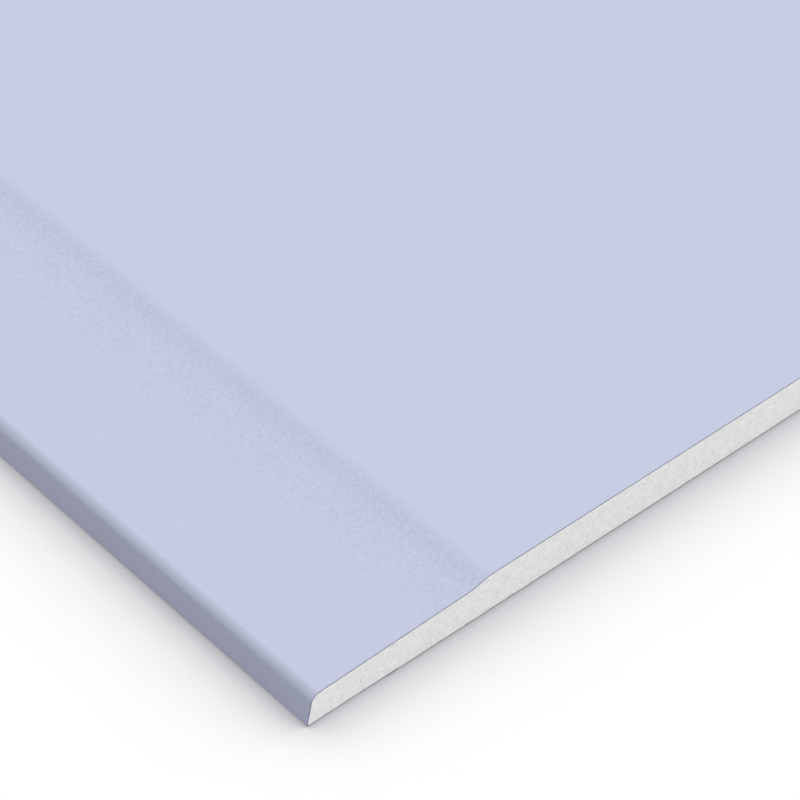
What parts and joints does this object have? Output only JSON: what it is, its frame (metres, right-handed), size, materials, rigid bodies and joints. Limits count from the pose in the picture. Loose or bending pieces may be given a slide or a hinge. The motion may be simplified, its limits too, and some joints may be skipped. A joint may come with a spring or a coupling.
{
  "type": "drywall sheet",
  "caption": "Flat drywall sheet: gypsum core between papers, with tapered long edges wrapped by the face paper and square-cut ends, for lining walls and ceilings.",
  "frame": {"origin": "centre of the back paper's underside, where the sheet lies on the floor", "axes": "+Z from the back to the finished face, +Y along the sheet, +X across it"},
  "size_m": [1.2, 2.4, 0.0125],
  "materials": {
    "gypsum": "matte sawn gypsum, finely porous",
    "face_paper": "matte pressed board paper, pale lavender blue",
    "back_paper": "rough unbleached recycled board paper, warm grey with darker fibres"
  },
  "bodies": {
    "root": {"gypsum_core": "gypsum", "face_paper": "face_paper", "back_paper": "back_paper"}
  },
  "joints": []
}
